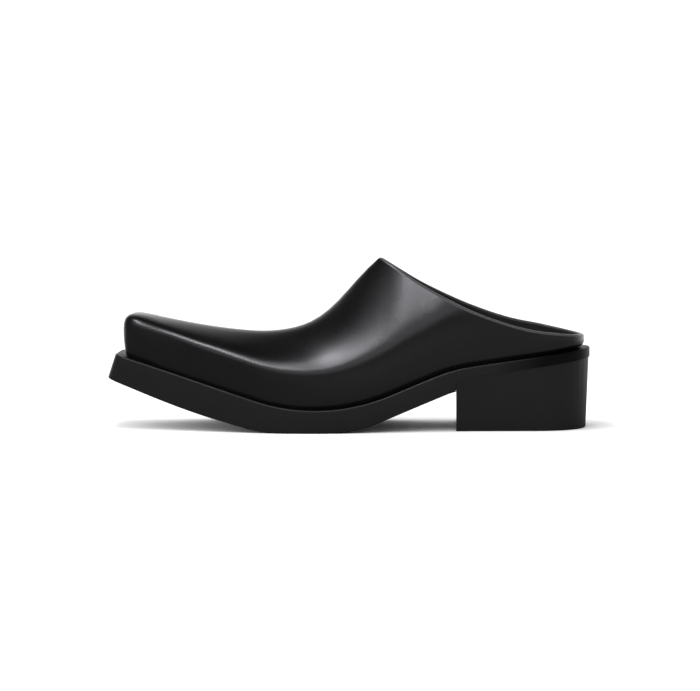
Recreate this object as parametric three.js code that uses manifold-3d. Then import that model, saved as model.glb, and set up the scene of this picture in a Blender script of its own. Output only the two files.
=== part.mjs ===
// A backless leather mule with a square, turned-up toe, a thick sole and a block heel.
// Millimetres, +Z up, with the floor at z = 0. The toe points along -X, the outer side of the
// foot is -Y and the inner side +Y, so this is a left shoe.

import * as THREE from "three";
import Module from "manifold-3d";

// Driving sizes
const LENGTH = 293; // the sole's rim, from its toe edge to its back edge
const BALL_WIDTH = 88; // the upper across the ball, at the sole
const TOE_SPRING = 32.6; // the rim at the toe, above the rim at the ball
const HEEL_LIFT = 36.4; // the rim at the back of the heel, above the rim at the ball
const INSTEP = 84.6; // the upper at the throat, above the rim
const BACK_WALL = 8.2; // the upper at the back of the heel, above the rim
const MEDIAL_RISE = 2.5; // the inner side of the collar, above the outer side
const LEATHER = 2.4; // wall of the upper, with its lining
const SOLE = 13.6; // substance of the sole at the ball
const SEAT = 6; // substance of the sole over the heel block
const INSOLE = 3.2; // substance of the insole
const RIM_TOE = 6; // the sole past the upper, at the toe
const RIM_SIDE = 5; // the same, along the sides
const RIM_BACK = 6; // the same, at the back of the heel
const TOE_LEAN = 4.5; // how far the toe edge's foot stands ahead of its top
const HEEL_TAPER = 1.8; // how far the heel block draws in from its top to its foot
const HEEL_INSET = 0.4; // how far the heel block draws in from the edge of the sole
const BREAST_SKEW = 4.2; // how much further back the heel's breast stands on the inner side
const EDGE = 0.5; // bevel on the edges of the sole, the heel and the insole
const GAP = 0.3; // clearance between two pieces
const BALL_BEND = 123; // radius of the rim under the ball
const WAIST_BEND = 100; // radius of the rim over the breast of the heel
const TOE_BEND = 400; // radius of the tread under the toe
const TREAD_BEND = 90; // radius of the tread where it leaves the floor ahead of the ball
const SHANK_BEND = 80; // radius of the tread where it leaves the floor behind the ball

// Places along the rim, as shares of its length from the toe
const TOE_POLE = 0.0887;
const BREAST = 0.711;
const THROAT = 0.5554;
const HEEL_POLE = 0.872;
const BLEND = 0.022; // how far to each side a section is blended with its neighbours

// Corners of the line that the upper meets the sole on, seen from the side. rise is a share of
// the toe spring or of the heel lift, whichever the corner belongs to, and round is a radius.
const RIM_LINE = [
  { at: 0, rise: 1, of: TOE_SPRING, round: 0 },
  { at: 0.4388, rise: -0.206, of: HEEL_LIFT, round: BALL_BEND },
  { at: 0.7054, rise: 0.662, of: HEEL_LIFT, round: WAIST_BEND },
  { at: 1, rise: 1, of: HEEL_LIFT, round: 0 },
];

// Corners of the tread, from the toe to the breast of the heel, by the same rule
const TREAD_LINE = [
  { at: 0, rise: 0.966, of: TOE_SPRING, round: 0 },
  { at: 0.155, rise: 0.4, of: TOE_SPRING, round: TOE_BEND },
  { at: 0.32, rise: 0, of: TOE_SPRING, round: TREAD_BEND },
  { at: 0.5068, rise: 0, of: HEEL_LIFT, round: SHANK_BEND },
  { at: BREAST, rise: 0.679, of: HEEL_LIFT, round: 0 },
];

// Sections of the upper. lateral and medial are its half widths at the sole and centre is the
// way of its crown towards the inner side, in shares of the ball width. height is that of the
// crown, in shares of the instep. ridge and crown are the reach of two control points, in shares
// of the half width, and wall is the height of the ridge in shares of the section's height.
// sharp is the weight of the ridge. crest is how round the crown is, in shares of the ball width.
// swell is how far the wall is pulled out past its foot, in shares of the ball width, and up is
// the height of that pull, in shares of the instep. Behind the throat the crown is only the form
// of the ankle.
const SECTIONS = [
  {
    at: 0.02, lateral: 0.24, medial: 0.3, centre: 0.025, height: 0.33,
    wall: 1, ridge: 1.17, crown: 0.55, sharp: 2.2, crest: 0, swell: 0.02, up: 0.12,
  },
  {
    at: 0.0887, lateral: 0.262, medial: 0.31, centre: 0.025, height: 0.357,
    wall: 0.87, ridge: 1.07, crown: 0.5, sharp: 3.4, crest: 0, swell: 0.02, up: 0.12,
  },
  {
    at: 0.1664, lateral: 0.332, medial: 0.37, centre: 0.02, height: 0.388,
    wall: 0.75, ridge: 1.03, crown: 0.48, sharp: 4.3, crest: 0, swell: 0.025, up: 0.12,
  },
  {
    at: 0.2516, lateral: 0.415, medial: 0.436, centre: 0.015, height: 0.4385,
    wall: 0.651, ridge: 1.05, crown: 0.38, sharp: 4.65, crest: 0.005, swell: 0.03, up: 0.13,
  },
  {
    at: 0.3369, lateral: 0.48, medial: 0.482, centre: 0.01, height: 0.515,
    wall: 0.547, ridge: 1.042, crown: 0.27, sharp: 5, crest: 0.02, swell: 0.035, up: 0.14,
  },
  {
    at: 0.405, lateral: 0.503, medial: 0.478, centre: 0.01, height: 0.597,
    wall: 0.4585, ridge: 1.033, crown: 0.18, sharp: 5.3, crest: 0.05, swell: 0.04, up: 0.15,
  },
  {
    at: 0.4562, lateral: 0.498, medial: 0.452, centre: 0.01, height: 0.715,
    wall: 0.385, ridge: 1.035, crown: 0.12, sharp: 5.55, crest: 0.06, swell: 0.05, up: 0.16,
  },
  {
    at: 0.5073, lateral: 0.476, medial: 0.415, centre: 0.01, height: 0.887,
    wall: 0.325, ridge: 1.038, crown: 0.083, sharp: 5.8, crest: 0.063, swell: 0.06, up: 0.17,
  },
  {
    at: 0.5585, lateral: 0.446, medial: 0.38, centre: 0.01, height: 1.011,
    wall: 0.304, ridge: 1.036, crown: 0.08, sharp: 5.85, crest: 0.063, swell: 0.07, up: 0.17,
  },
  {
    at: 0.6, lateral: 0.418, medial: 0.355, centre: 0.008, height: 1.05,
    wall: 0.3187, ridge: 1.03, crown: 0.08, sharp: 5.7, crest: 0.063, swell: 0.075, up: 0.175,
  },
  {
    at: 0.6437, lateral: 0.392, medial: 0.334, centre: 0.005, height: 1.008,
    wall: 0.358, ridge: 1.017, crown: 0.117, sharp: 5.3, crest: 0.06, swell: 0.08, up: 0.18,
  },
  {
    at: 0.746, lateral: 0.357, medial: 0.328, centre: 0, height: 0.817,
    wall: 0.526, ridge: 0.985, crown: 0.33, sharp: 3.65, crest: 0.03, swell: 0.065, up: 0.17,
  },
  {
    at: 0.872, lateral: 0.347, medial: 0.347, centre: 0, height: 0.55,
    wall: 0.8, ridge: 1, crown: 0.7, sharp: 1.1, crest: 0, swell: 0.065, up: 0.11,
  },
  {
    at: 0.98, lateral: 0.347, medial: 0.347, centre: 0, height: 0.25,
    wall: 0.72, ridge: 0.95, crown: 0.6, sharp: 1, crest: 0, swell: 0.09, up: 0.06,
  },
];

// The collar seen from the side, from the throat to the back. up is a share of the way from the
// back wall's top to the throat, and medial is the share of MEDIAL_RISE that is added there.
const COLLAR = [
  { at: THROAT, up: 1, medial: 0 },
  { at: 0.6542, up: 0.604, medial: 0.6 },
  { at: 0.7569, up: 0.29, medial: 1 },
  { at: 0.8797, up: 0.068, medial: 1 },
  { at: 1 - RIM_BACK / LENGTH, up: 0, medial: 0 },
];

const SQUARE_TOE = 7; // power of the curve round the toe, seen from above
const SQUARE_RIM = 9; // the same for the sole
const ROUND_HEEL = 2.2; // the same round the heel

// Steps of the faceted surfaces
const TOE_STEPS = 10;
const VAMP_STEPS = 18;
const COLLAR_STEPS = 15;
const HEEL_INSETS = 9;
const WALL_STEPS = 14;
const HALVINGS = 40; // of a search

const LATERAL = -1;
const MEDIAL = 1;

const alongRim = (at) => at * LENGTH;
const shareOf = (x) => x / LENGTH;

// Value of one column of a table at a share of the length, on a smooth curve that never
// overshoots the rows
function smoothColumn(table, name, at) {
  const last = table.length - 1;
  if (at <= table[0].at) return table[0][name];
  if (at >= table[last].at) return table[last][name];
  const i = table.findIndex((row) => row.at > at) - 1;
  const pitch = (k) => (table[k + 1][name] - table[k][name]) / (table[k + 1].at - table[k].at);
  const slope = (k) => {
    if (k === 0) return pitch(0);
    if (k === last) return pitch(last - 1);
    const before = pitch(k - 1);
    const after = pitch(k);
    return before * after <= 0 ? 0 : (2 * before * after) / (before + after);
  };
  const span = table[i + 1].at - table[i].at;
  const t = (at - table[i].at) / span;
  const s = 1 - t;
  return (
    s * s * (1 + 2 * t) * table[i][name] +
    t * t * (1 + 2 * s) * table[i + 1][name] +
    s * s * t * span * slope(i) -
    t * t * s * span * slope(i + 1)
  );
}

// Height along a line of corners with rounded bends, as a function of x
function roundedLine(corners) {
  const points = corners.map((c) => new THREE.Vector2(alongRim(c.at), c.rise * c.of));
  const bends = points.map((p, i) => {
    if (!corners[i].round) return { from: p.x, to: p.x };
    const before = points[i - 1].clone().sub(p).normalize();
    const after = points[i + 1].clone().sub(p).normalize();
    const half = Math.acos(before.dot(after)) / 2;
    const reach = corners[i].round / Math.tan(half);
    const middle = before.clone().add(after).normalize().multiplyScalar(corners[i].round / Math.sin(half)).add(p);
    return { from: p.x + before.x * reach, to: p.x + after.x * reach, middle, radius: corners[i].round };
  });
  return (x) => {
    const bend = bends.find((b) => b.middle && x > b.from && x < b.to);
    if (bend) {
      const side = Math.sign(points[bends.indexOf(bend)].y - bend.middle.y);
      return bend.middle.y + side * Math.sqrt(bend.radius ** 2 - (x - bend.middle.x) ** 2);
    }
    const next = Math.max(1, points.findIndex((p, i) => i > 0 && x <= p.x));
    const i = x > points[points.length - 1].x ? points.length - 1 : next;
    const t = (x - points[i - 1].x) / (points[i].x - points[i - 1].x);
    return points[i - 1].y + t * (points[i].y - points[i - 1].y);
  };
}

const rimCurve = roundedLine(RIM_LINE);
const treadCurve = roundedLine(TREAD_LINE);
const RIM_SAMPLES = 400;
const rimLow = Math.min(...Array.from({ length: RIM_SAMPLES }, (_, i) => rimCurve((i / RIM_SAMPLES) * LENGTH)));
const rimHeight = (x) => SOLE + rimCurve(x) - rimLow;
const treadHeight = (x) => Math.max(0, treadCurve(x));

// Value of a column of the sections at x, blended with its neighbours
function sectionAt(x, name) {
  const at = (shift) => smoothColumn(SECTIONS, name, shareOf(x) + shift);
  return (at(-BLEND) + 2 * at(0) + at(BLEND)) / 4;
}

const crownHeight = (x) => rimHeight(x) + INSTEP * sectionAt(x, "height");

const toeX = alongRim(TOE_POLE);
const throatX = alongRim(THROAT);
const heelX = alongRim(HEEL_POLE);
const breastX = alongRim(BREAST);

// Half width of the upper at the sole, from the shoe's axis
function halfWidth(x, side) {
  return BALL_WIDTH * sectionAt(x, side === LATERAL ? "lateral" : "medial");
}

// Stations round one side of the shoe, from the middle of the toe to the middle of the heel.
// angle turns about the toe's pole or the heel's pole, and the ones between lie across the shoe.
function stationList(throat) {
  const quarter = Math.PI / 2;
  const stations = [];
  for (let i = 0; i < TOE_STEPS; i++)
    stations.push({ pole: toeX, angle: quarter * (1 - i / TOE_STEPS), toe: true });
  for (let i = 0; i < VAMP_STEPS; i++)
    stations.push({ pole: toeX + ((throat - toeX) * i) / VAMP_STEPS, angle: 0, toe: false });
  for (let i = 0; i < COLLAR_STEPS; i++)
    stations.push({ pole: throat + (heelX - throat) * (i / COLLAR_STEPS) ** 2, angle: 0, toe: false });
  for (let i = 0; i <= HEEL_INSETS; i++)
    stations.push({ pole: heelX, angle: (quarter * i) / HEEL_INSETS, toe: false });
  return stations;
}
const STATIONS = stationList(throatX);

// Point of an outline seen from above, at a station. grow holds how far it stands outside the
// upper's foot at the toe, at the sides and at the back, and square the power of its toe corner.
function outlinePoint(station, side, grow, square) {
  const { pole, angle, toe } = station;
  const power = 2 / (toe ? square : ROUND_HEEL);
  const ahead = Math.sin(angle) ** power;
  const across = angle === Math.PI / 2 ? 0 : Math.cos(angle) ** power;
  const axis = toe ? BALL_WIDTH * sectionAt(pole, "centre") : 0;
  const half = halfWidth(pole, side) + grow.side - side * axis;
  if (toe) {
    const reach = (toeX - RIM_TOE + grow.toe) * ahead;
    const draw = halfWidth(pole + 1, side) - halfWidth(pole, side);
    return new THREE.Vector2(pole - reach, axis + side * (half - draw * reach) * across);
  }
  const reach = (LENGTH - RIM_BACK - heelX + grow.back) * ahead;
  return new THREE.Vector2(pole + reach, axis + side * half * across);
}

const evenly = (amount) => ({ toe: amount, side: amount, back: amount });

// Height of the collar's edge at x
function collarHeight(x, side) {
  const back = rimHeight(LENGTH - RIM_BACK) + BACK_WALL;
  const up = smoothColumn(COLLAR, "up", shareOf(x));
  const rise = side === MEDIAL ? MEDIAL_RISE * smoothColumn(COLLAR, "medial", shareOf(x)) : 0;
  return back + up * (crownHeight(throatX) - back) + rise;
}

// How far the crown of a surface inset by a wall lies under the outer crown
function crownDrop(x, inset) {
  const lean = (crownHeight(x + 1) - crownHeight(x - 1)) / 2;
  return inset * Math.hypot(1, lean);
}

// Where the crown of a surface inset by a wall comes out at the collar
function throatOf(inset) {
  let low = throatX;
  let high = throatX + 4 * inset;
  for (let i = 0; i < HALVINGS; i++) {
    const x = (low + high) / 2;
    if (crownHeight(x) - crownDrop(x, inset) < collarHeight(x, LATERAL)) low = x;
    else high = x;
  }
  return low;
}

// Half section of the upper at a station, as a rational curve from the sole to the crown
function halfSection(station, side, inset) {
  const foot = outlinePoint(station, side, evenly(-inset), SQUARE_TOE);
  const axis = new THREE.Vector2(station.pole, BALL_WIDTH * sectionAt(station.pole, "centre"));
  const reach = foot.distanceTo(axis);
  const way = foot.clone().sub(axis).normalize();
  const place = (out) => axis.clone().addScaledVector(way, out);
  const down = crownDrop(station.pole, inset);
  const at = (name) => sectionAt(outlinePoint(station, side, evenly(0), SQUARE_TOE).x, name);
  const ridgeOut = (reach + inset) * at("ridge") - inset;
  const crownOut = reach * at("crown");
  const height = (p, share) => rimHeight(p.x) + share * INSTEP * sectionAt(p.x, "height");
  const belly = place(reach + BALL_WIDTH * at("swell"));
  const ridge = place(ridgeOut);
  const crown = place(crownOut);
  const crest = BALL_WIDTH * at("crest");
  const top = crownHeight(axis.x) - down;
  const tall = top - rimHeight(foot.x) - GAP;
  const controls = [
    { p: foot, z: rimHeight(foot.x) + GAP, w: 1 },
    { p: belly, z: rimHeight(belly.x) + INSTEP * at("up"), w: 1 },
    { p: ridge, z: height(ridge, at("wall")) - down, w: at("sharp") },
    { p: crown, z: crownHeight(crown.x) - down, w: 1 },
    { p: axis, z: top, w: 1 },
  ];
  return (v) => {
    const binomial = [1, 4, 6, 4, 1];
    const point = new THREE.Vector3();
    let total = 0;
    controls.forEach(({ p, z, w }, i) => {
      const share = binomial[i] * w * v ** i * (1 - v) ** (4 - i);
      point.add(new THREE.Vector3(p.x, p.y, z).multiplyScalar(share));
      total += share;
    });
    point.divideScalar(total);
    const drop = Math.max(0, top - point.z);
    const rounded = Math.hypot(drop, crest) - crest;
    point.z += (drop - rounded) * (1 - drop / tall);
    return point;
  };
}

// Where a half section reaches the collar, as a share of its curve: 1 ahead of the throat
function collarShare(curve, station, side, throat) {
  if (station.toe || (station.angle === 0 && station.pole <= throat)) return 1;
  const edge = collarHeight(outlinePoint(station, side, evenly(0), SQUARE_TOE).x, side);
  let low = 0;
  let high = 1;
  for (let i = 0; i < HALVINGS; i++) {
    const middle = (low + high) / 2;
    if (curve(middle).z < edge) low = middle;
    else high = middle;
  }
  return low;
}

// One surface of the upper, as rows of points: from the outer side's back round the toe to the
// inner side's back, each row from the sole to the crown or the collar
function upperSurface(inset) {
  const throat = throatOf(inset);
  const stations = stationList(throat);
  const row = (station, side) => {
    const curve = halfSection(station, side, inset);
    const end = collarShare(curve, station, side, throat);
    return Array.from({ length: WALL_STEPS + 1 }, (_, j) => curve((end * j) / WALL_STEPS));
  };
  const outer = stations.map((s) => row(s, LATERAL)).reverse();
  const inner = stations.map((s) => row(s, MEDIAL));
  return [...outer, ...inner.slice(1)];
}

// Collects faces whose corners are merged by place, and drops those that have no area
class Faces {
  constructor() {
    this.points = [];
    this.triangles = [];
    this.known = new Map();
  }
  corner(p) {
    const key = [p.x, p.y, p.z].map((c) => Math.round(c * 1e4)).join();
    if (!this.known.has(key)) this.known.set(key, this.points.push(p) - 1);
    return this.known.get(key);
  }
  triangle(a, b, c) {
    const corners = [a, b, c].map((p) => this.corner(p));
    if (new Set(corners).size === 3) this.triangles.push(...corners);
  }
  quad(a, b, c, d) {
    this.triangle(a, b, c);
    this.triangle(a, c, d);
  }
  geometry() {
    const places = this.points.flatMap((p) => [p.x, p.y, p.z]);
    return new THREE.BufferGeometry()
      .setAttribute("position", new THREE.Float32BufferAttribute(places, 3))
      .setIndex(this.triangles);
  }
}

function upperGeometry() {
  const faces = new Faces();
  const outside = upperSurface(0);
  const inside = upperSurface(LEATHER);
  const rows = outside.length;
  const toeRow = STATIONS.length - 1;
  const throatStep = TOE_STEPS + VAMP_STEPS;
  for (let i = 0; i < rows; i++) {
    const k = (i + 1) % rows;
    for (let j = 0; j < WALL_STEPS; j++) {
      faces.quad(outside[i][j], outside[i][j + 1], outside[k][j + 1], outside[k][j]);
      faces.quad(inside[i][j], inside[k][j], inside[k][j + 1], inside[i][j + 1]);
    }
    faces.quad(outside[i][0], outside[k][0], inside[k][0], inside[i][0]);
    const top = WALL_STEPS;
    if (Math.abs(i - toeRow) < throatStep && Math.abs(k - toeRow) <= throatStep) continue;
    if (Math.abs(i - toeRow) <= throatStep && Math.abs(k - toeRow) < throatStep) continue;
    faces.quad(outside[i][top], inside[i][top], inside[k][top], outside[k][top]);
  }
  return faces.geometry();
}

// A body of stacked rings. Each ring gives a point for a station and a side, and the first ring
// is the top one. The top and the foot are closed by strips from side to side.
function ringGeometry(stations, rings) {
  const faces = new Faces();
  const count = stations.length;
  const laid = rings.map((ring) => ({
    outer: stations.map((s) => ring(s, LATERAL)),
    inner: stations.map((s) => ring(s, MEDIAL)),
  }));
  for (let r = 0; r + 1 < laid.length; r++) {
    const upper = laid[r];
    const lower = laid[r + 1];
    for (let i = 0; i + 1 < count; i++) {
      faces.quad(upper.outer[i], lower.outer[i], lower.outer[i + 1], upper.outer[i + 1]);
      faces.quad(upper.inner[i], upper.inner[i + 1], lower.inner[i + 1], lower.inner[i]);
    }
    faces.quad(upper.outer[0], upper.inner[0], lower.inner[0], lower.outer[0]);
    const end = count - 1;
    faces.quad(upper.outer[end], lower.outer[end], lower.inner[end], upper.inner[end]);
  }
  const top = laid[0];
  const foot = laid[laid.length - 1];
  for (let i = 0; i + 1 < count; i++) {
    faces.quad(top.outer[i], top.outer[i + 1], top.inner[i + 1], top.inner[i]);
    faces.quad(foot.outer[i], foot.inner[i], foot.inner[i + 1], foot.outer[i + 1]);
  }
  return faces.geometry();
}

// The sole's rim, seen from above, drawn in by an inset
const rimGrow = (inset) => ({ toe: RIM_TOE - inset, side: RIM_SIDE - inset, back: RIM_BACK - inset });

// The sole at its full substance, before the seat of the heel is cut into it
function soleBlank() {
  const waist = rimHeight(breastX) - treadHeight(breastX);
  const ring = (depth, inset) => (station, side) => {
    const p = outlinePoint(station, side, rimGrow(inset), SQUARE_RIM);
    const top = rimHeight(p.x);
    if (depth <= SOLE / 2) return new THREE.Vector3(p.x, p.y, top - depth);
    const x = p.x - TOE_LEAN * Math.max(0, 1 - p.x / breastX);
    const tread = p.x < breastX ? treadHeight(p.x) : top - waist;
    return new THREE.Vector3(x, p.y, tread + SOLE - depth);
  };
  return ringGeometry(STATIONS, [ring(0, EDGE), ring(EDGE, 0), ring(SOLE - EDGE, 0), ring(SOLE, EDGE)]);
}

// The room under the heel's seat, from the breast to past the back, drawn in by a gap
function underSeat(gap) {
  const beyond = BALL_WIDTH / 2;
  const steps = 8;
  const outer = -halfWidth(breastX, LATERAL) - RIM_SIDE;
  const inner = halfWidth(breastX, MEDIAL) + RIM_SIDE;
  const front = (y) => breastX + gap + (BREAST_SKEW * (y - outer)) / (inner - outer);
  const profile = (y) => {
    const points = [new THREE.Vector3(front(y), y, -beyond), new THREE.Vector3(LENGTH + beyond, y, -beyond)];
    for (let i = steps; i >= 0; i--) {
      const x = front(y) + ((LENGTH - front(y)) * i) / steps;
      const z = rimHeight(x) - SEAT - gap;
      if (i === steps) points.push(new THREE.Vector3(LENGTH + beyond, y, z));
      points.push(new THREE.Vector3(x, y, z));
    }
    return points;
  };
  const near = profile(outer - beyond);
  const far = profile(inner + beyond);
  const faces = new Faces();
  const count = near.length;
  for (let i = 0; i < count; i++) {
    const k = (i + 1) % count;
    faces.quad(near[i], far[i], far[k], near[k]);
  }
  for (let i = 2; i + 1 < count; i++) {
    faces.triangle(near[1], near[i], near[i + 1]);
    faces.triangle(far[1], far[i + 1], far[i]);
  }
  faces.triangle(near[1], near[count - 1], near[0]);
  faces.triangle(far[1], far[0], far[count - 1]);
  return faces.geometry();
}

// The heel block before its top is cut to the seat: it draws in towards the floor
function heelBlank() {
  const roof = rimHeight(LENGTH);
  const stations = STATIONS.filter((s) => !s.toe && s.pole > breastX - RIM_TOE);
  const ring = (z, inset) => (station, side) => {
    const taper = HEEL_TAPER * (1 - z / roof);
    const p = outlinePoint(station, side, rimGrow(HEEL_INSET + taper + inset), SQUARE_RIM);
    return new THREE.Vector3(p.x, p.y, z);
  };
  return ringGeometry(stations, [ring(roof, 0), ring(EDGE, 0), ring(0, EDGE)]);
}

function insoleGeometry() {
  const edge = LEATHER + GAP;
  const ring = (up, inset) => (station, side) => {
    const p = outlinePoint(station, side, evenly(-edge - inset), SQUARE_TOE);
    return new THREE.Vector3(p.x, p.y, rimHeight(p.x) + GAP + up);
  };
  return ringGeometry(STATIONS, [ring(INSOLE, EDGE), ring(INSOLE - EDGE, 0), ring(0, 0)]);
}

const wasm = await Module();
wasm.setup();

function toSolid(geometry) {
  const faces = new Faces();
  const flat = geometry.index ? geometry.toNonIndexed() : geometry;
  const places = flat.getAttribute("position");
  const corner = (i) => new THREE.Vector3().fromBufferAttribute(places, i);
  for (let i = 0; i < places.count; i += 3) faces.triangle(corner(i), corner(i + 1), corner(i + 2));
  const vertProperties = new Float32Array(faces.points.flatMap((p) => [p.x, p.y, p.z]));
  return new wasm.Manifold(
    new wasm.Mesh({ numProp: 3, vertProperties, triVerts: new Uint32Array(faces.triangles) }),
  );
}

function toGeometry(solid) {
  const mesh = solid.getMesh();
  return new THREE.BufferGeometry()
    .setAttribute("position", new THREE.BufferAttribute(mesh.vertProperties, 3))
    .setIndex(new THREE.BufferAttribute(mesh.triVerts, 1));
}

const soleGeometry = () => toGeometry(toSolid(soleBlank()).subtract(toSolid(underSeat(0))));
const heelGeometry = () => toGeometry(toSolid(heelBlank()).intersect(toSolid(underSeat(GAP))));

const calf = new THREE.MeshStandardMaterial({ color: 0x161618, roughness: 0.32, metalness: 0 });
const lining = new THREE.MeshStandardMaterial({ color: 0x1a1a1b, roughness: 0.55, metalness: 0 });
const soleEdge = new THREE.MeshStandardMaterial({ color: 0x141415, roughness: 0.42, metalness: 0 });
const stackedHeel = new THREE.MeshStandardMaterial({ color: 0x151516, roughness: 0.38, metalness: 0 });

function piece(name, geometry, material) {
  const mesh = new THREE.Mesh(geometry, material);
  mesh.name = name;
  return mesh;
}

const mule = new THREE.Group();
mule.add(
  piece("upper", upperGeometry(), calf),
  piece("insole", insoleGeometry(), lining),
  piece("sole", soleGeometry(), soleEdge),
  piece("heel", heelGeometry(), stackedHeel),
);

// The origin goes to the middle of the shoe's length and width, on the floor
const middle = new THREE.Box3().setFromObject(mule).getCenter(new THREE.Vector3());
mule.position.set(-middle.x, -middle.y, 0);

export default mule;
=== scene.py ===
# A backless leather mule with a square, turned-up toe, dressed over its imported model.
# Metres, +Z up, toe towards -X, the outer side of the foot towards -Y.

from math import atan2, cos, hypot, pi, radians, sin, sqrt, tan

import bpy
from mathutils import Matrix, Vector
from mathutils.bvhtree import BVHTree


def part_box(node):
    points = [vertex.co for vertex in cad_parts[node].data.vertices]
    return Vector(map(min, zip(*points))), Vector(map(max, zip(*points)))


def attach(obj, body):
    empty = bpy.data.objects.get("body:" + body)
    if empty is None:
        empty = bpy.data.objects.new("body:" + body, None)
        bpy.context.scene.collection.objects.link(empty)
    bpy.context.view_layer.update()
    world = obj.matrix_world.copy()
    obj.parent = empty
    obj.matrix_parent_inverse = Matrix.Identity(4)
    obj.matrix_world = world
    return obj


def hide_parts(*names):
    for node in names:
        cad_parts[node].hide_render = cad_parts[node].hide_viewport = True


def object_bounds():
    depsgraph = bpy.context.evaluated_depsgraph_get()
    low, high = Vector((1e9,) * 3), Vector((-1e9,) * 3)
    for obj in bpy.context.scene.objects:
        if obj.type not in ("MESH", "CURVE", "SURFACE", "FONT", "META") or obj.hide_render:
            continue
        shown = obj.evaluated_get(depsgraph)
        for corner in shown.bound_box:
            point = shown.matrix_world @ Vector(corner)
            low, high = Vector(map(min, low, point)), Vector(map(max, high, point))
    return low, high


bl_info = {
    "name": "Square-toe mule",
    "version": (1, 0, 0),
    "blender": (4, 5, 0),
    "location": "3D View > Sidebar > Mule",
    "description": "Dresses a packed leather mule in calf, lining, edge paint and tread",
    "category": "Object",
}

MM = 0.001
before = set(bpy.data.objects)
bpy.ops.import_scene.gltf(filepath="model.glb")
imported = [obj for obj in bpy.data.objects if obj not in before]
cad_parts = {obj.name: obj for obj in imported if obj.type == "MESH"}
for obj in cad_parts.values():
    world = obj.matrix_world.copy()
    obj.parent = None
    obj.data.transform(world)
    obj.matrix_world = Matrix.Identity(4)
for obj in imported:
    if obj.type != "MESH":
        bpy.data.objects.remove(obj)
CAD_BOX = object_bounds()
BODY = "root"


# Sizes and colours that a user would change

class MuleLeather(bpy.types.PropertyGroup):
    """The upper's calf and the lining."""

    colour: bpy.props.FloatVectorProperty(
        name="Calf", description="Colour of the calf leather", subtype="COLOR", size=3,
        default=(0.0015, 0.0015, 0.0017), min=0, max=1)
    lining: bpy.props.FloatVectorProperty(
        name="Lining", description="Colour of the lining and the footbed", subtype="COLOR", size=3,
        default=(0.017, 0.017, 0.0175), min=0, max=1)
    # The collar edge's pale colour is a painted highlight along the rolled edge
    edge: bpy.props.FloatVectorProperty(
        name="Collar edge", description="Colour of the collar's waxed edge", subtype="COLOR",
        size=3, default=(0.045, 0.045, 0.046), min=0, max=1)
    gloss: bpy.props.FloatProperty(
        name="Roughness", description="Roughness of the polished calf", default=0.27,
        min=0.05, max=1, subtype="FACTOR")
    grain: bpy.props.FloatProperty(
        name="Grain", description="Width of one grain of the calf", default=0.7 * MM,
        min=0.1 * MM, max=5 * MM, unit="LENGTH", precision=5)


class MuleSole(bpy.types.PropertyGroup):
    """The sole, its rim and the heel."""

    colour: bpy.props.FloatVectorProperty(
        name="Edge", description="Colour of the painted edge", subtype="COLOR", size=3,
        default=(0.006, 0.006, 0.0062), min=0, max=1)
    tread: bpy.props.FloatVectorProperty(
        name="Tread", description="Colour of the tread", subtype="COLOR", size=3,
        default=(0.014, 0.014, 0.014), min=0, max=1)
    edge_round: bpy.props.FloatProperty(
        name="Edge rounding", description="Rounding of the sole's and the heel's edges",
        default=0.3 * MM, min=0.05 * MM, max=1 * MM, unit="LENGTH", precision=5)
    gloss: bpy.props.FloatProperty(
        name="Edge gloss", description="Roughness of the edge paint", default=0.42, min=0, max=1,
        subtype="FACTOR")
    # Where the painted shade on the sole's side under the heel seat starts
    seat: bpy.props.FloatProperty(
        name="Seat", description="Where the dark ink of the heel seat starts", default=86 * MM,
        min=-200 * MM, max=200 * MM, unit="LENGTH", precision=5)
    tread_pitch: bpy.props.FloatProperty(
        name="Tread pitch", description="Distance from one rib of the tread to the next",
        default=2.4 * MM, min=1 * MM, max=10 * MM, unit="LENGTH", precision=5)


class MuleStage(bpy.types.PropertyGroup):
    """Floor, lights and camera."""

    distance: bpy.props.FloatProperty(
        name="Distance", description="From the camera to the middle of the shoe", default=1.3,
        min=0.5, max=5, unit="LENGTH")
    eye: bpy.props.FloatProperty(
        name="Eye height", description="Height of the camera above the floor", default=0.1366,
        min=0, max=2, unit="LENGTH", precision=4)
    horizon: bpy.props.FloatProperty(
        name="Look down", description="How far the camera looks down", default=radians(3.81),
        min=0, max=radians(90), subtype="ANGLE")
    lens: bpy.props.FloatProperty(
        name="Lens", description="Focal length for a 36 mm wide picture", default=107.8,
        min=20, max=300)
    sky: bpy.props.FloatProperty(
        name="Sky", description="Soft light from all round", default=1.25, min=0, max=5)
    dark_studio: bpy.props.FloatProperty(
        name="Studio", description="What the leather mirrors of the dark studio", default=0.4,
        min=0, max=5)
    backdrop: bpy.props.FloatProperty(
        name="Backdrop", description="What the leather mirrors of the pale wall behind",
        default=0.9, min=0, max=5)
    lights: bpy.props.FloatProperty(
        name="Lights", description="Height of the soft boxes", default=1.05, min=0.3, max=5,
        unit="LENGTH")
    floor: bpy.props.FloatProperty(
        name="Floor", description="Brightness of the floor's colour", default=0.95, min=0, max=1,
        subtype="FACTOR")


# Small helpers

def deselect_all():
    if bpy.context.mode != "OBJECT":
        bpy.ops.object.mode_set(mode="OBJECT")
    bpy.ops.object.select_all(action="DESELECT")


def make_active(piece):
    deselect_all()
    piece.select_set(True)
    bpy.context.view_layer.objects.active = piece


def copy_of(node, name):
    """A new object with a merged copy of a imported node's mesh."""
    piece = bpy.data.objects.new(name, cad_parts[node].data.copy())
    bpy.context.collection.objects.link(piece)
    piece.data.name = name
    piece.data.materials.clear()
    make_active(piece)
    bpy.ops.object.mode_set(mode="EDIT")
    bpy.ops.mesh.select_all(action="SELECT")
    bpy.ops.mesh.customdata_custom_splitnormals_clear()
    bpy.ops.mesh.remove_doubles(threshold=0.01 * MM)
    bpy.ops.object.mode_set(mode="OBJECT")
    return piece


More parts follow.
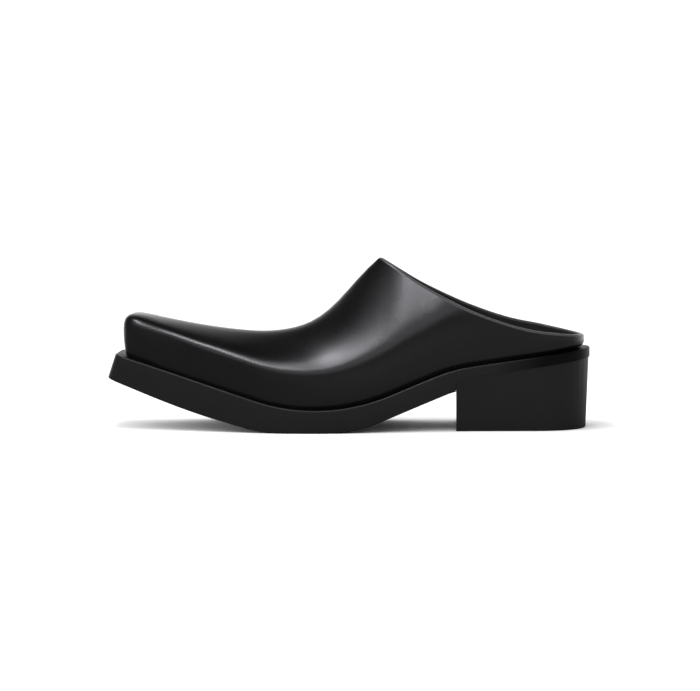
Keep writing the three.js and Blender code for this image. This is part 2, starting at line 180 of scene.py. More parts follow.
def apply_modifier(piece, kind, **values):
    """Adds one modifier, sets its values and applies it."""
    modifier = piece.modifiers.new(kind.title(), kind)
    for name, value in values.items():
        setattr(modifier, name, value)
    make_active(piece)
    bpy.ops.object.modifier_apply(modifier=modifier.name)


def seat_piece(piece, node):
    """Hides the imported node that a piece stands for, and makes the piece move with the shoe."""
    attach(piece, BODY)
    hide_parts(node)


# Form of the upper, in millimetres from the sole's toe edge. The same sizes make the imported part.

LENGTH = 293.0  # the sole's rim, from its toe edge to its back edge
BALL_WIDTH = 88.0
TOE_SPRING = 32.6  # the rim at the toe, above the rim at the ball
HEEL_LIFT = 36.4  # the rim at the back of the heel, above the rim at the ball
INSTEP = 84.6  # the upper at the throat, above the rim
BACK_WALL = 8.2  # the upper at the back of the heel, above the rim
MEDIAL_RISE = 2.5  # the inner side of the collar, above the outer side
LEATHER = 2.4  # wall of the upper, with its lining
SOLE = 13.6  # substance of the sole at the ball
RIM_TOE = 6.0  # the sole past the upper, at the toe
RIM_BACK = 6.0  # the same, at the back of the heel
GAP = 0.3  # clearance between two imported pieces
TOE_LEAN = 4.5  # how far the toe edge's foot stands ahead of its top
BREAST_SKEW = 4.2  # how much further back the heel's breast stands on the inner side
HEEL_HALF = 35.2  # half width of the heel block

# What only the dressed model has
TUCK = 0.9  # how far the upper's foot is drawn down, into the top of the sole
TURN_IN, TURN_HEIGHT = 1.3, 4.0  # how far the wall turns in at its foot, and from which height
BEAD = 1.1  # how far below the collar's line its rolled edge starts
ROLLED = 1.15  # width of that edge, as a share of the wall's
GLUE_REACH = 1.7  # edges as near as this to their joint stay sharp
SEAT_STEP = 1.0  # how far the heel's top is brought out to the sole's side
HEEL_FLUSH = 60.0  # length over which that fades, from the breast

# How finely the upper is laid out
TOE_PARTS, SIDE_PARTS, HEEL_PARTS = 26, 84, 18
WALL_PARTS, BEAD_PARTS = 60, 6
COLLAR_PARTS, BACK_PARTS = 90, 40  # first tries along the collar, before they are spaced evenly
THROAT_SHARE = 0.12  # spacing of the collar's points at the throat, as a share of the even one
CROWDING = 1.3  # how strongly a long wall's rows draw towards its foot
SHORT_WALL, LONG_WALL = 30, 110  # length on the flat map that starts it, and more for all of it
MAP_HALF = 30.0  # half width of the flat map that the upper is laid out on

# Places along the rim, as shares of its length from the toe
TOE_POLE = 0.0887
THROAT = 0.5554
HEEL_POLE = 0.872
BLEND = 0.022  # how far to each side a section is blended with its neighbours

SQUARE_TOE, ROUND_HEEL = 7.0, 2.2  # powers of the toe's and the heel's outline
LATERAL, MEDIAL = -1, 1

# Corners of the line that the upper meets the sole on: share of the length, height, radius
RIM_LINE = (
    (0.0, TOE_SPRING, 0.0),
    (0.4388, -0.206 * HEEL_LIFT, 123.0),
    (0.7054, 0.662 * HEEL_LIFT, 100.0),
    (1.0, HEEL_LIFT, 0.0),
)

# Sections of the upper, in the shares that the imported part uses
COLUMNS = ("at", "lateral", "medial", "centre", "height", "wall", "ridge", "crown", "sharp",
           "crest", "swell", "up")
SECTIONS = (
    (0.02, 0.24, 0.3, 0.025, 0.33, 1, 1.17, 0.55, 2.2, 0, 0.02, 0.12),
    (0.0887, 0.262, 0.31, 0.025, 0.357, 0.87, 1.07, 0.5, 3.4, 0, 0.02, 0.12),
    (0.1664, 0.332, 0.37, 0.02, 0.388, 0.75, 1.03, 0.48, 4.3, 0, 0.025, 0.12),
    (0.2516, 0.415, 0.436, 0.015, 0.4385, 0.651, 1.05, 0.38, 4.65, 0.005, 0.03, 0.13),
    (0.3369, 0.48, 0.482, 0.01, 0.515, 0.547, 1.042, 0.27, 5, 0.02, 0.035, 0.14),
    (0.405, 0.503, 0.478, 0.01, 0.597, 0.4585, 1.033, 0.18, 5.3, 0.05, 0.04, 0.15),
    (0.4562, 0.498, 0.452, 0.01, 0.715, 0.385, 1.035, 0.12, 5.55, 0.06, 0.05, 0.16),
    (0.5073, 0.476, 0.415, 0.01, 0.887, 0.325, 1.038, 0.083, 5.8, 0.063, 0.06, 0.17),
    (0.5585, 0.446, 0.38, 0.01, 1.011, 0.304, 1.036, 0.08, 5.85, 0.063, 0.07, 0.17),
    (0.6, 0.418, 0.355, 0.008, 1.05, 0.3187, 1.03, 0.08, 5.7, 0.063, 0.075, 0.175),
    (0.6437, 0.392, 0.334, 0.005, 1.008, 0.358, 1.017, 0.117, 5.3, 0.06, 0.08, 0.18),
    (0.746, 0.357, 0.328, 0, 0.817, 0.526, 0.985, 0.33, 3.65, 0.03, 0.065, 0.17),
    (0.872, 0.347, 0.347, 0, 0.55, 0.8, 1, 0.7, 1.1, 0, 0.065, 0.11),
    (0.98, 0.347, 0.347, 0, 0.25, 0.72, 0.95, 0.6, 1, 0, 0.09, 0.06),
)
# The collar, from the throat to the back: place, share of the height, share of the inner rise
COLLAR = (
    (THROAT, 1, 0),
    (0.6542, 0.604, 0.6),
    (0.7569, 0.29, 1),
    (0.8797, 0.068, 1),
    (1 - RIM_BACK / LENGTH, 0, 0),
)


def smooth_column(table, column, at):
    """A smooth curve through one column of a table, which never overshoots its rows."""
    last = len(table) - 1
    if at <= table[0][0]:
        return table[0][column]
    if at >= table[last][0]:
        return table[last][column]
    i = max(k for k in range(last) if table[k][0] <= at)

    def pitch(k):
        return (table[k + 1][column] - table[k][column]) / (table[k + 1][0] - table[k][0])

    def slope(k):
        if k == 0:
            return pitch(0)
        if k == last:
            return pitch(last - 1)
        before, after = pitch(k - 1), pitch(k)
        return 0.0 if before * after <= 0 else 2 * before * after / (before + after)

    span = table[i + 1][0] - table[i][0]
    t = (at - table[i][0]) / span
    s = 1 - t
    return (s * s * (1 + 2 * t) * table[i][column] + t * t * (1 + 2 * s) * table[i + 1][column]
            + s * s * t * span * slope(i) - t * t * s * span * slope(i + 1))


def rounded_line(corners):
    """Height along a line of corners with rounded bends."""
    points = [(at * LENGTH, z) for at, z, _ in corners]
    bends = []
    for i, (_, _, radius) in enumerate(corners):
        if not radius:
            continue
        here = Vector(points[i])
        before = (Vector(points[i - 1]) - here).normalized()
        after = (Vector(points[i + 1]) - here).normalized()
        half = before.angle(after) / 2
        middle = here + (before + after).normalized() * (radius / sin(half))
        reach = radius / tan(half)
        side = 1 if here.y > middle.y else -1
        bends.append((here.x + before.x * reach, here.x + after.x * reach, middle, radius, side))

    def height(x):
        for start, end, middle, radius, side in bends:
            if start < x < end:
                return middle.y + side * sqrt(radius ** 2 - (x - middle.x) ** 2)
        i = next((k for k in range(1, len(points)) if x <= points[k][0]), len(points) - 1)
        (x0, z0), (x1, z1) = points[i - 1], points[i]
        return z0 + (z1 - z0) * (x - x0) / (x1 - x0)

    return height


rim_curve = rounded_line(RIM_LINE)
RIM_LOW = min(rim_curve(LENGTH * i / 400) for i in range(400))
TOE_X, THROAT_X, HEEL_X = TOE_POLE * LENGTH, THROAT * LENGTH, HEEL_POLE * LENGTH


def rim_height(x):
    """Height of the line that the upper meets the sole on."""
    return SOLE + rim_curve(x) - RIM_LOW


def section(x, name):
    """One value of the upper's section at a place, blended with its neighbours."""
    column = COLUMNS.index(name)
    before, here, after = (smooth_column(SECTIONS, column, x / LENGTH + shift)
                           for shift in (-BLEND, 0.0, BLEND))
    return (before + 2 * here + after) / 4


def crown_height(x):
    return rim_height(x) + INSTEP * section(x, "height")


def half_width(x, side):
    return BALL_WIDTH * section(x, "lateral" if side == LATERAL else "medial")


def foot_point(pole, angle, toe, side, inset):
    """The upper's foot, seen from above, drawn in by an inset."""
    power = SQUARE_TOE if toe else ROUND_HEEL
    turn = (max(0.0, sin(angle)) ** power + max(0.0, cos(angle)) ** power) ** (-1 / power)
    ahead, across = sin(angle) * turn, cos(angle) * turn
    axis = BALL_WIDTH * section(pole, "centre") if toe else 0.0
    half = half_width(pole, side) - inset - side * axis
    if toe:
        reach = (TOE_X - RIM_TOE - inset) * ahead
        draw = half_width(pole + 1, side) - half_width(pole, side)
        return Vector((pole - reach, axis + side * (half - draw * reach) * across))
    reach = (LENGTH - RIM_BACK - HEEL_X - inset) * ahead
    return Vector((pole + reach, axis + side * half * across))


def crown_drop(x, inset):
    """How far below the crown a surface inset by a wall lies."""
    return inset * sqrt(1 + ((crown_height(x + 1) - crown_height(x - 1)) / 2) ** 2)


def half_section(pole, angle, toe, side, inset):
    """Half section of the upper as a rational curve from the sole to the crown."""
    foot = foot_point(pole, angle, toe, side, inset)
    shape_x = foot_point(pole, angle, toe, side, 0).x
    axis = Vector((pole, BALL_WIDTH * section(pole, "centre")))
    reach = (foot - axis).length
    way = (foot - axis) / reach
    down = crown_drop(pole, inset)
    at = {name: section(shape_x, name) for name in COLUMNS[5:]}
    belly = axis + way * (reach + BALL_WIDTH * at["swell"])
    ridge = axis + way * ((reach + inset) * at["ridge"] - inset)
    crown = axis + way * (reach * at["crown"])
    ridge_z = rim_height(ridge.x) + at["wall"] * INSTEP * section(ridge.x, "height") - down
    crest = BALL_WIDTH * at["crest"]
    top = crown_height(axis.x) - down
    tall = top - rim_height(foot.x) - GAP
    controls = (
        (Vector((*foot, rim_height(foot.x) + GAP)), 1),
        (Vector((*belly, rim_height(belly.x) + INSTEP * at["up"])), 1),
        (Vector((*ridge, ridge_z)), at["sharp"]),
        (Vector((*crown, crown_height(crown.x) - down)), 1),
        (Vector((*axis, top)), 1),
    )

    def point(v):
        total = 0.0
        place = Vector((0, 0, 0))
        for i, (control, weight) in enumerate(controls):
            share = (1, 4, 6, 4, 1)[i] * weight * v ** i * (1 - v) ** (4 - i)
            place += control * share
            total += share
        place /= total
        drop = max(0.0, top - place.z)
        rounded = hypot(drop, crest) - crest
        place.z += (drop - rounded) * (1 - drop / tall)
        return place

    return point


def collar_height(x, side):
    """Height of the collar's line above the floor."""
    back = rim_height(LENGTH - RIM_BACK) + BACK_WALL
    rise = MEDIAL_RISE * smooth_column(COLLAR, 2, x / LENGTH) if side == MEDIAL else 0.0
    return back + smooth_column(COLLAR, 1, x / LENGTH) * (crown_height(THROAT_X) - back) + rise


def throat_of(inset, lower):
    """Where the crown of a surface inset by a wall comes out at a lowered collar."""
    low, high = THROAT_X - 3 * lower, THROAT_X + 4 * inset + 1
    for _ in range(40):
        x = (low + high) / 2
        drop = crown_drop(x, inset)
        if crown_height(x) - drop < collar_height(max(x, THROAT_X), LATERAL) - lower:
            low = x
        else:
            high = x
    return low


def collar_share(curve, edge):
    """Where a half section reaches a height."""
    low, high = 0.0, 1.0
    for _ in range(30):
        middle = (low + high) / 2
        if curve(middle).z < edge:
            low = middle
        else:
            high = middle
    return low


def on_map(x, y):
    """Pole, angle, toe or not, and share of the section, for a point of the flat map."""
    if x < TOE_X:
        return TOE_X, atan2(TOE_X - x, y), True, 1 - hypot(TOE_X - x, y) / MAP_HALF
    if x > HEEL_X:
        return HEEL_X, atan2(x - HEEL_X, y), False, 1 - hypot(x - HEEL_X, y) / MAP_HALF
    return x, 0.0, False, 1 - y / MAP_HALF


def surface_point(x, y, side, inset):
    """The point on the upper that a point of the flat map stands for."""
    pole, angle, toe, share = on_map(x, y)
    return half_section(pole, angle, toe, side, inset)(max(0.0, min(1.0, share)))


def collar_on_map(side, inset, lower, count):
    """Points of the collar on the flat map, evenly spaced on the shoe, from throat to back."""
    throat = throat_of(inset, lower)
    fine = [(throat, 0.0)]
    for k in range(1, COLLAR_PARTS):
        x = throat + (HEEL_X - throat) * (k / COLLAR_PARTS) ** 2
        curve = half_section(x, 0.0, False, side, inset)
        share = collar_share(curve, collar_height(max(x, THROAT_X), side) - lower)
        fine.append((x, MAP_HALF * (1 - share)))
    for k in range(BACK_PARTS + 1):
        angle = pi / 2 * k / BACK_PARTS
        foot_x = foot_point(HEEL_X, angle, False, side, 0).x
        curve = half_section(HEEL_X, angle, False, side, inset)
        away = MAP_HALF * (1 - collar_share(curve, collar_height(foot_x, side) - lower))
        fine.append((HEEL_X + away * sin(angle), away * cos(angle)))
    solid = [surface_point(x, y, side, inset) for x, y in fine]
    walked = [0.0]
    for a, b in zip(solid, solid[1:]):
        walked.append(walked[-1] + (b - a).length)
    points, k = [], 0
    for i in range(count + 1):
        f = i / count
        target = walked[-1] * (THROAT_SHARE * f + (1 - THROAT_SHARE) * f ** 3)
        while k < len(walked) - 2 and walked[k + 1] < target:
            k += 1
        t = (target - walked[k]) / (walked[k + 1] - walked[k])
        points.append(tuple(a + t * (b - a) for a, b in zip(fine[k], fine[k + 1])))
    return points


def foot_on_map():
    """Points of the foot on the flat map, from the middle of the toe to that of the heel."""
    points = []
    for i in range(TOE_PARTS):
        s = 2 * i / TOE_PARTS - 1
        angle = pi / 4 * (1 - abs(s) ** 1.4 * (1 if s > 0 else -1))
        points.append((TOE_X - MAP_HALF * sin(angle), MAP_HALF * cos(angle)))
    for i in range(SIDE_PARTS):
        points.append((TOE_X + (HEEL_X - TOE_X) * i / SIDE_PARTS, MAP_HALF))
    for i in range(HEEL_PARTS + 1):
        angle = pi / 2 * i / HEEL_PARTS
        points.append((HEEL_X + MAP_HALF * sin(angle), MAP_HALF * cos(angle)))
    return points


def upper_profiles(side):
    """Closed profiles through the upper's wall, from the middle of the toe to that of the heel."""
    feet = foot_on_map()
    count = len(feet) - 1
    edges = {inset: collar_on_map(side, inset, BEAD, count) for inset in (0.0, LEATHER)}
    profiles = []
    for i, (fx, fy) in enumerate(feet):
        walls = {}
        for inset, edge in edges.items():
            ex, ey = edge[i]
            away = (hypot(ex - fx, ey - fy) - SHORT_WALL) / LONG_WALL
            ease = 1 + CROWDING * min(1.0, max(0.0, away))
            steps = [(j / WALL_PARTS) ** ease for j in range(WALL_PARTS + 1)]
            walls[inset] = [surface_point(fx + (ex - fx) * t, fy + (ey - fy) * t, side, inset)
                            for t in steps]
        outer, inner = walls[0.0], walls[LEATHER]
        for at, point in enumerate(outer[:WALL_PARTS // 2]):
            low = max(0.0, 1 - (point - outer[0]).length / TURN_HEIGHT)
            point += (inner[at] - point).normalized() * TURN_IN * low * low
        for wall in (outer, inner):
            wall[0].z -= TUCK
        middle = (outer[-1] + inner[-1]) / 2
        across = (outer[-1] - inner[-1]) / 2 * ROLLED
        rise = (outer[-1] - outer[-2]).normalized() * across.length
        bead = [middle + across * cos(pi * k / BEAD_PARTS) + rise * sin(pi * k / BEAD_PARTS)
                for k in range(1, BEAD_PARTS)]
        profiles.append(outer + bead + inner[::-1])
    return profiles


# Materials

class Nodes:
    """A short way to lay out one material's nodes."""

    def __init__(self, name):
        self.material = bpy.data.materials.new(name)
        self.material.use_nodes = True
        self.tree = self.material.node_tree
        self.shader = self.tree.nodes["Principled BSDF"]

    def add(self, kind, **values):
        node = self.tree.nodes.new(kind)
        for name, value in values.items():
            if name in node.inputs:
                node.inputs[name].default_value = value
            else:
                setattr(node, name, value)
        return node

    def link(self, source, target):
        self.tree.links.new(source, target)

    def place(self, stretch=(1, 1, 1)):
        """Object coordinates, stretched along the axes."""
        coordinates = self.add("ShaderNodeTexCoord")
        mapping = self.add("ShaderNodeMapping")
        mapping.inputs["Scale"].default_value = stretch
        self.link(coordinates.outputs["Object"], mapping.inputs["Vector"])
        return mapping.outputs["Vector"]

    def along(self, axis):
        """One of the object coordinates."""
        parts = self.add("ShaderNodeSeparateXYZ")
        self.link(self.place(), parts.inputs[0])
        return parts.outputs[axis]

    def spread(self, value, low, high, start=0.0, end=1.0):
        """Maps a value from start to end onto a range."""
        node = self.add("ShaderNodeMapRange")
        for name, number in (("From Min", start), ("From Max", end),
                             ("To Min", low), ("To Max", high)):
            node.inputs[name].default_value = number
        self.link(value, node.inputs["Value"])
        return node.outputs["Result"]

    def noise(self, size, place, detail=3.0):
        node = self.add("ShaderNodeTexNoise", Scale=1 / size, Detail=detail)
        self.link(place, node.inputs["Vector"])
        return node.outputs["Fac"]

    def cells(self, size, place):
        node = self.add("ShaderNodeTexVoronoi", feature="DISTANCE_TO_EDGE", Scale=1 / size)
        self.link(place, node.inputs["Vector"])
        return node.outputs["Distance"]

    def bump(self, height, depth, strength=1.0, under=None):
        node = self.add("ShaderNodeBump", Strength=strength, Distance=depth)
        self.link(height, node.inputs["Height"])
        if under is not None:
            self.link(under, node.inputs["Normal"])
        return node.outputs["Normal"]

    def tint(self, value, dark, light):
        node = self.add("ShaderNodeMix", data_type="RGBA")
        node.inputs[6].default_value = (*dark, 1)
        node.inputs[7].default_value = (*light, 1)
        self.link(value, node.inputs[0])
        return node.outputs[2]


SEAT_SHADE_FADE = 32  # length over which the painted shade of the heel seat comes in
ROUGH_PAPER, DULL_PAPER = 0.9, 0.1  # roughness and specular level of the floor


def shade(colour, factor):
    """A colour made darker or lighter."""
    return tuple(min(1.0, part * factor) for part in colour)


def calf_leather(settings):
    """Polished calf: a close grain of small cells under a thin glossy dressing."""
    made = Nodes("calf_leather")
    place = made.place()
    grain = made.cells(settings.grain, place)
    pores = made.noise(settings.grain * 0.35, place, detail=4)
    sway = made.noise(26 * MM, place, detail=2)
    made.link(made.tint(sway, shade(settings.colour, 0.9), shade(settings.colour, 1.12)),
              made.shader.inputs["Base Color"])
    made.link(made.spread(sway, settings.gloss - 0.03, settings.gloss + 0.04),
              made.shader.inputs["Roughness"])
    normal = made.bump(pores, 0.02 * MM, 0.35)
    normal = made.bump(grain, 0.03 * MM, 0.35, normal)
    normal = made.bump(made.noise(9 * MM, place, detail=2), 0.12 * MM, 0.3, normal)
    made.link(normal, made.shader.inputs["Normal"])
    made.shader.inputs["Specular IOR Level"].default_value = 0.5
    made.shader.inputs["Coat Weight"].default_value = 0.2
    made.shader.inputs["Coat Roughness"].default_value = 0.26
    return made.material


def collar_edge(settings):
    """Waxed edge of the collar. Its colour, paler than the calf, is a painted highlight along the
    rolled edge.
    """
    made = Nodes("collar_edge")
    edge_mottle = made.noise(2 * MM, made.place(), detail=3)
    # The paler tint is a painted highlight along the rolled edge
    made.link(made.tint(edge_mottle, shade(settings.edge, 0.8), shade(settings.edge, 1.2)),
              made.shader.inputs["Base Color"])
    made.shader.inputs["Roughness"].default_value = 0.32
    made.shader.inputs["Specular IOR Level"].default_value = 0.6
    return made.material


def lining_leather(settings):
    """Half-matt lining leather, with a finer and softer grain."""
    made = Nodes("lining_leather")
    place = made.place()
    grain = made.cells(settings.grain * 0.8, place)
    sway = made.noise(14 * MM, place, detail=3)
    made.link(made.tint(sway, shade(settings.lining, 0.85), shade(settings.lining, 1.2)),
              made.shader.inputs["Base Color"])
    made.link(made.spread(sway, 0.5, 0.62), made.shader.inputs["Roughness"])
    made.link(made.bump(grain, 0.05 * MM, 0.5), made.shader.inputs["Normal"])
    made.shader.inputs["Specular IOR Level"].default_value = 0.35
    return made.material


def painted_edge(settings, seat_shaded):
    """Edge paint: smooth, with faint long strokes. The sole's side under the heel seat gets painted
    shade: a darker colour and a dimmer reflection.
    """
    made = Nodes("seat_shaded_edge" if seat_shaded else "painted_edge")
    strokes = made.noise(1.6 * MM, made.place((0.08, 0.08, 1)), detail=3)
    sway = made.noise(30 * MM, made.place(), detail=2)
    paint = made.tint(sway, shade(settings.colour, 0.9), shade(settings.colour, 1.15))
    made.shader.inputs["Specular IOR Level"].default_value = 0.35
    # Painted shade: from the seat back, the sole's side is darkened and reflects less, standing in
    # for the shade under the upper's back
    if seat_shaded:
        seat = made.spread(made.along("X"), 0, 1, settings.seat, settings.seat + SEAT_SHADE_FADE * MM)
        painted_shade = made.add("ShaderNodeMix", data_type="RGBA")
        made.link(seat, painted_shade.inputs[0])
        made.link(paint, painted_shade.inputs[6])
        painted_shade.inputs[7].default_value = (*shade(settings.colour, 0.2), 1)
        paint = painted_shade.outputs[2]
        made.link(made.spread(seat, 0.35, 0.12),
                  made.shader.inputs["Specular IOR Level"])
    made.link(paint, made.shader.inputs["Base Color"])
    made.link(made.spread(strokes, settings.gloss - 0.05, settings.gloss + 0.07),
              made.shader.inputs["Roughness"])
    made.link(made.bump(strokes, 0.03 * MM, 0.25), made.shader.inputs["Normal"])
    return made.material


def rubber_tread(settings):
    """Matt rubber with fine ribs across the shoe."""
    made = Nodes("rubber_tread")
    ribs = made.add("ShaderNodeTexWave", wave_type="BANDS", bands_direction="X", wave_profile="SIN")
    ribs.inputs["Scale"].default_value = pi / (10 * settings.tread_pitch)
    made.link(made.place(), ribs.inputs["Vector"])
    dust = made.noise(5 * MM, made.place(), detail=4)
    made.link(made.tint(dust, shade(settings.tread, 0.8), shade(settings.tread, 1.5)),
              made.shader.inputs["Base Color"])
    made.link(made.bump(ribs.outputs["Fac"], 0.5 * MM, 0.7), made.shader.inputs["Normal"])
    made.shader.inputs["Roughness"].default_value = 0.68
    made.shader.inputs["Specular IOR Level"].default_value = 0.3
    return made.material


def studio_paper(brightness):
    """White paper. What the shoe mirrors of it is dim nearby and pale far behind."""
    made = Nodes("studio_paper")
    cloud = made.noise(0.4, made.place())
    made.link(made.tint(cloud, (brightness * 0.995,) * 3, (brightness,) * 3),
              made.shader.inputs["Base Color"])
    made.shader.inputs["Roughness"].default_value = ROUGH_PAPER
    made.shader.inputs["Specular IOR Level"].default_value = DULL_PAPER
    path = made.add("ShaderNodeLightPath")
    dark = made.add("ShaderNodeBsdfDiffuse")
    side = made.spread(made.along("X"), 0.09, 0.17, -0.15, 0.1)
    far = made.spread(made.along("Y"), 0, 1, 0.1, 0.8)
    tone = made.add("ShaderNodeMix")
    tone.inputs["B"].default_value = brightness
    made.link(far, tone.inputs["Factor"])
    made.link(side, tone.inputs["A"])
    made.link(tone.outputs["Result"], dark.inputs["Color"])
    mixed = made.add("ShaderNodeMixShader")
    made.link(path.outputs["Is Glossy Ray"], mixed.inputs[0])
    made.link(made.shader.outputs[0], mixed.inputs[1])
    made.link(dark.outputs[0], mixed.inputs[2])
    made.link(mixed.outputs[0], made.tree.nodes["Material Output"].inputs["Surface"])
    return made.material


# Pieces

CALF, LINING, WAX_AND_HIGHLIGHT = 0, 1, 2  # order of the upper's materials
PAINT, TREAD = 0, 1  # order of the sole's and the heel's
SHARP, SMOOTH = radians(25), radians(35)  # edges past these are rounded, and shaded flat


class MULE_OT_upper(bpy.types.Operator):
    """Makes the calf upper with its lining and its turned collar edge"""

    bl_idname = "mule.upper"
    bl_label = "Upper"

    def execute(self, context):
        settings = context.scene.mule_leather
        outer, inner = upper_profiles(LATERAL), upper_profiles(MEDIAL)
        rows = outer[:0:-1] + inner[:-1]
        depth = len(rows[0])
        corners = [point * MM for row in rows for point in row]
        faces, finishes = [], []
        for i in range(len(rows)):
            here, there = i * depth, (i + 1) % len(rows) * depth
            for j in range(depth):
                k = (j + 1) % depth
                faces.append((here + j, here + k, there + k, there + j))
                finishes.append(CALF if j < WALL_PARTS
                                else WAX_AND_HIGHLIGHT if j < WALL_PARTS + BEAD_PARTS else LINING)
        mesh = bpy.data.meshes.new("calf_upper")
        mesh.from_pydata(corners, [], faces)
        piece = bpy.data.objects.new("calf_upper", mesh)
        context.collection.objects.link(piece)
        low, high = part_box("upper")
        places = [corner.y for corner in corners]
        shift = Vector((CAD_BOX[0][0] + TOE_LEAN * MM,
                        (low.y + high.y - min(places) - max(places)) / 2, 0))
        mesh.transform(Matrix.Translation(shift))
        for finish in (calf_leather, lining_leather, collar_edge):
            piece.data.materials.append(finish(settings))
        mesh.polygons.foreach_set("material_index", finishes)
        make_active(piece)
        bpy.ops.object.mode_set(mode="EDIT")
        bpy.ops.mesh.select_all(action="SELECT")
        bpy.ops.mesh.remove_doubles(threshold=0.001 * MM)
        bpy.ops.mesh.normals_make_consistent(inside=False)
        bpy.ops.object.mode_set(mode="OBJECT")
        bpy.ops.object.shade_smooth()
        seat_piece(piece, "upper")
        return {"FINISHED"}


class MULE_OT_insole(bpy.types.Operator):
    """Makes the leather-covered footbed"""

    bl_idname = "mule.insole"
    bl_label = "Insole"

    def execute(self, context):
        settings = context.scene.mule_leather
        piece = copy_of("insole", "footbed")
        apply_modifier(piece, "BEVEL", width=0.3 * MM, segments=2, limit_method="ANGLE",
                       angle_limit=radians(30))
        piece.data.materials.append(lining_leather(settings))
        make_active(piece)
        bpy.ops.object.shade_smooth_by_angle(angle=SMOOTH)
        seat_piece(piece, "insole")
        return {"FINISHED"}


def joint_corners(piece, node):
    """Finds a piece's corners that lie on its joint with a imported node."""
    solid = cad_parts[node].data
    faces = BVHTree.FromPolygons([corner.co for corner in solid.vertices],
                                 [face.vertices for face in solid.polygons])
    return {corner.index for corner in piece.data.vertices
            if faces.find_nearest(corner.co)[3] < GLUE_REACH * MM}


def glue_heel(piece):
    """Closes the packing gap over the heel, flush with the sole's side near the breast."""
    for corner in piece.data.vertices:
        x, y, z = corner.co / MM
        if z > HEEL_LIFT / 2:
            breast = min(c.co.x for c in piece.data.vertices) / MM
            flush = max(0.0, 1 - (x - breast) / HEEL_FLUSH)
            corner.co.z += GAP * MM
            if abs(y) > BALL_WIDTH / 4:
                corner.co.y += (1 if y > 0 else -1) * SEAT_STEP * flush * MM
            if x < breast + BREAST_SKEW * (y + HEEL_HALF) / (2 * HEEL_HALF) + GAP:
                corner.co.x -= GAP * MM


def rounded_block(piece, settings, joint, seat_shaded):
    """Rounds a hard piece's free edges and gives it an edge and a tread finish."""
    sharp = piece.data.attributes.new("bevel_weight_edge", "FLOAT", "EDGE")
    faces = {}
    for face in piece.data.polygons:
        for key in face.edge_keys:
            faces.setdefault(key, []).append(face.normal)
    for edge in piece.data.edges:
        sides = faces[edge.key]
        free = not joint.issuperset(edge.vertices)
        sharp.data[edge.index].value = free and sides[0].angle(sides[-1]) > SHARP
    apply_modifier(piece, "BEVEL", width=settings.edge_round, segments=2, limit_method="WEIGHT")
    piece.data.materials.append(painted_edge(settings, seat_shaded))
    piece.data.materials.append(rubber_tread(settings))
    for face in piece.data.polygons:
        face.material_index = TREAD if face.normal.z < -0.8 else PAINT
    make_active(piece)
    bpy.ops.object.shade_smooth_by_angle(angle=SMOOTH)


class MULE_OT_sole(bpy.types.Operator):
    """Makes the sole with its rim"""

    bl_idname = "mule.sole"
    bl_label = "Sole"

    def execute(self, context):
        piece = copy_of("sole", "outsole")
        joint = joint_corners(piece, "heel")
        rounded_block(piece, context.scene.mule_sole, joint, seat_shaded=True)
        seat_piece(piece, "sole")
        return {"FINISHED"}


class MULE_OT_heel(bpy.types.Operator):
    """Makes the block heel"""

    bl_idname = "mule.heel"
    bl_label = "Heel"

    def execute(self, context):
        piece = copy_of("heel", "heel_block")
        joint = joint_corners(piece, "sole")
        glue_heel(piece)
        rounded_block(piece, context.scene.mule_sole, joint, seat_shaded=False)
        seat_piece(piece, "heel")
        return {"FINISHED"}


# The lights over the shoe: place x and y, width, depth, turn in degrees, power in watts
LIGHTS = {
    "strip_box": (-0.197, -0.37, 0.09, 0.72, 7, 3.75),
    "key_box": (-0.235, -0.09, 0.1, 0.21, -30, 1.15),
    "left_box": (-0.7, -0.95, 0.2, 0.6, -45, 0.7),
    "front_box": (-0.15, -1.25, 0.7, 0.6, 0, 1.5),
    "right_box": (0.17, -0.93, 0.3, 0.3, 0, 0.5),
}


def softbox(name, place, size, turn, power):
    """A soft box that hangs flat over the shoe, turned about the upright."""
    light = bpy.data.lights.new(name, "AREA")
    light.shape = "RECTANGLE"
    light.size, light.size_y = size
    light.energy = power
    light.color = (0.95, 0.94, 1)
    lamp = bpy.data.objects.new(name, light)
    bpy.context.collection.objects.link(lamp)
    lamp.location = place
    lamp.rotation_euler = (0, 0, turn)


def studio_sky(tree, settings):
    """A white sky, brighter at the toe. The gloss sees a dim room with a pale wall behind."""
    def node(kind, **values):
        made = tree.nodes.new(kind)
        for name, value in values.items():
            made.inputs[name.replace("_", " ")].default_value = value
        return made

    def ramp(source, start, end, low, high):
        made = node("ShaderNodeMapRange", From_Min=start, From_Max=end, To_Min=low, To_Max=high)
        tree.links.new(source, made.inputs["Value"])
        return made.outputs["Result"]

    def joined(operation, first, second):
        made = tree.nodes.new("ShaderNodeMath")
        made.operation = operation
        tree.links.new(first, made.inputs[0])
        tree.links.new(second, made.inputs[1])
        return made.outputs["Value"]

    sky = tree.nodes["Background"]
    sky.inputs["Color"].default_value = (1, 1, 1, 1)
    way = node("ShaderNodeSeparateXYZ")
    tree.links.new(node("ShaderNodeTexCoord").outputs["Generated"], way.inputs[0])
    room = ramp(way.outputs["X"], -0.6, 0.5, settings.dark_studio * 0.3, settings.dark_studio)
    wall = ramp(way.outputs["Y"], 0.3, 0.9, 0, settings.backdrop)
    low = ramp(way.outputs["Z"], 0.2, 0.7, 1, 0)
    lit = ramp(way.outputs["X"], -1, 1, settings.sky * 1.75, settings.sky * 0.25)
    seen = node("ShaderNodeMix")
    tree.links.new(lit, seen.inputs["A"])
    tree.links.new(node("ShaderNodeLightPath").outputs["Is Glossy Ray"], seen.inputs["Factor"])
    tree.links.new(joined("MULTIPLY", joined("ADD", room, wall), low), seen.inputs["B"])
    tree.links.new(seen.outputs["Result"], sky.inputs["Strength"])


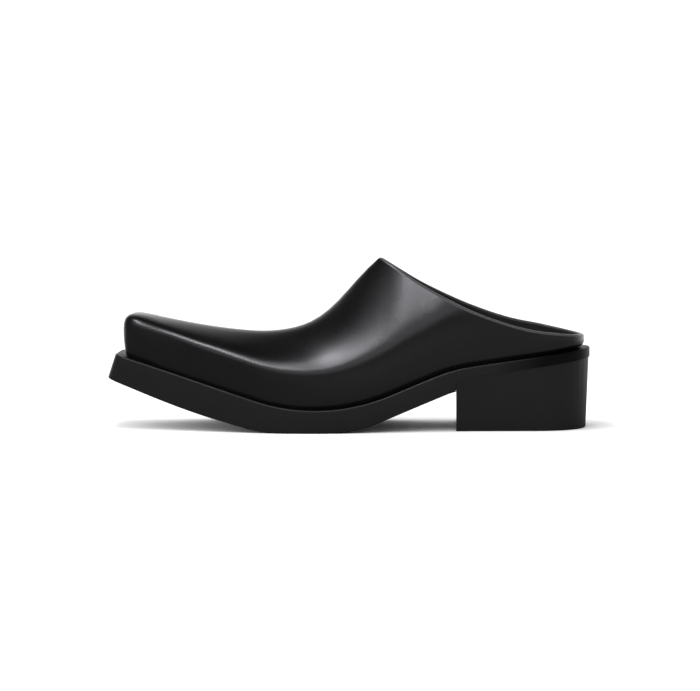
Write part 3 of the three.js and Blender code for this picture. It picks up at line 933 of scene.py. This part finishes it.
class MULE_OT_stage(bpy.types.Operator):
    """Lays the floor, sets the lights and places the camera"""

    bl_idname = "mule.stage"
    bl_label = "Stage"

    def execute(self, context):
        settings = context.scene.mule_stage
        deselect_all()
        bpy.ops.mesh.primitive_plane_add(size=24)
        floor = context.object
        floor.name = "studio_floor"
        floor.data.materials.append(studio_paper(settings.floor))
        for name, (x, y, width, depth, turn, power) in LIGHTS.items():
            softbox(name, (x, y, settings.lights), (width, depth), radians(turn), power)
        world = bpy.data.worlds.new("studio")
        context.scene.world = world
        world.use_nodes = True
        studio_sky(world.node_tree, settings)
        context.scene.view_settings.view_transform = "Standard"

        camera = bpy.data.objects.new("camera", bpy.data.cameras.new("camera"))
        context.collection.objects.link(camera)
        camera.data.sensor_width = 36
        camera.data.lens = settings.lens
        camera.data.clip_end = 60
        camera.location = (0, -settings.distance, settings.eye)
        camera.rotation_euler = (radians(90) - settings.horizon, 0, 0)
        context.scene.camera = camera
        return {"FINISHED"}


class MULE_PT_panel(bpy.types.Panel):
    """Lists the mule's pieces"""

    bl_idname = "MULE_PT_panel"
    bl_label = "Square-toe mule"
    bl_space_type = "VIEW_3D"
    bl_region_type = "UI"
    bl_category = "Mule"

    def draw(self, context):
        for group in SETTINGS:
            settings = getattr(context.scene, group)
            for name in settings.bl_rna.properties.keys():
                if name not in ("rna_type", "name"):
                    self.layout.prop(settings, name)
        for piece in PIECES:
            self.layout.operator(piece.bl_idname)


SETTINGS = {"mule_leather": MuleLeather, "mule_sole": MuleSole, "mule_stage": MuleStage}
PIECES = (MULE_OT_stage, MULE_OT_upper, MULE_OT_insole, MULE_OT_sole, MULE_OT_heel)


def register():
    for group in (*SETTINGS.values(), *PIECES, MULE_PT_panel):
        bpy.utils.register_class(group)
    for name, group in SETTINGS.items():
        setattr(bpy.types.Scene, name, bpy.props.PointerProperty(type=group))


def unregister():
    for name in SETTINGS:
        delattr(bpy.types.Scene, name)
    for group in (MULE_PT_panel, *reversed(PIECES), *SETTINGS.values()):
        bpy.utils.unregister_class(group)


def main():
    register()
    bpy.ops.mule.stage()
    bpy.ops.mule.upper()
    bpy.ops.mule.insole()
    bpy.ops.mule.sole()
    bpy.ops.mule.heel()


if __name__ == "__main__":
    main()
